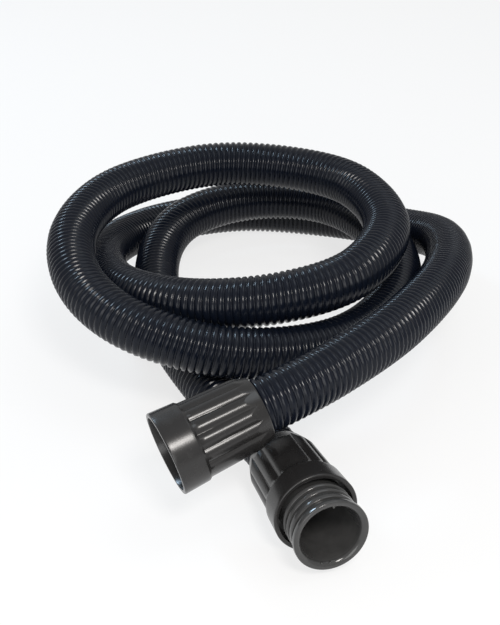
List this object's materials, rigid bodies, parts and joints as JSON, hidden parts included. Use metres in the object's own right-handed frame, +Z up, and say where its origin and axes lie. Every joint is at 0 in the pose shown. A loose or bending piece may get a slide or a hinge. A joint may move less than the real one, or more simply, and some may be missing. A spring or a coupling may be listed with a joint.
{
  "type": "vacuum hose",
  "caption": "Black corrugated suction hose for a pool or spa vacuum, coiled loosely, with a ribbed swivel cuff at each end and a flared screw connector in one of them.",
  "frame": {"origin": "on the floor, below the centre of the whole object's box", "axes": "+Z up, +X to the right and -Y towards the viewer, with both cuffs at the -Y side"},
  "size_m": [0.4118, 0.6242, 0.144],
  "materials": {
    "hose_plastic": "glossy",
    "cuff_plastic": "satin",
    "neck_plastic": "semi-gloss",
    "nut_plastic": "satin",
    "ring_plastic": "satin",
    "seal_rubber": "matt"
  },
  "bodies": {
    "hose": {"hose": "hose_plastic", "hose_nut_a": "nut_plastic", "hose_nut_b": "nut_plastic", "seal_ring_a": "seal_rubber", "seal_ring_b": "seal_rubber"},
    "swivel_a": {"cuff_a": "cuff_plastic", "retaining_ring_a": "ring_plastic"},
    "swivel_b": {"cuff_b": "cuff_plastic", "retaining_ring_b": "ring_plastic", "screw_neck": "neck_plastic", "neck_gasket": "seal_rubber"}
  },
  "joints": [
    {"name": "cuff_a_swivel", "type": "hinge", "parent": "hose", "child": "swivel_a", "pos_m": [-0.008, -0.217, 0.091], "axis": [-0.8824, -0.3929, -0.2588], "continuous": true},
    {"name": "cuff_b_swivel", "type": "hinge", "parent": "hose", "child": "swivel_b", "pos_m": [0.009, -0.199, 0.02858], "axis": [0.3247, -0.943, 0.0723], "continuous": true}
  ]
}
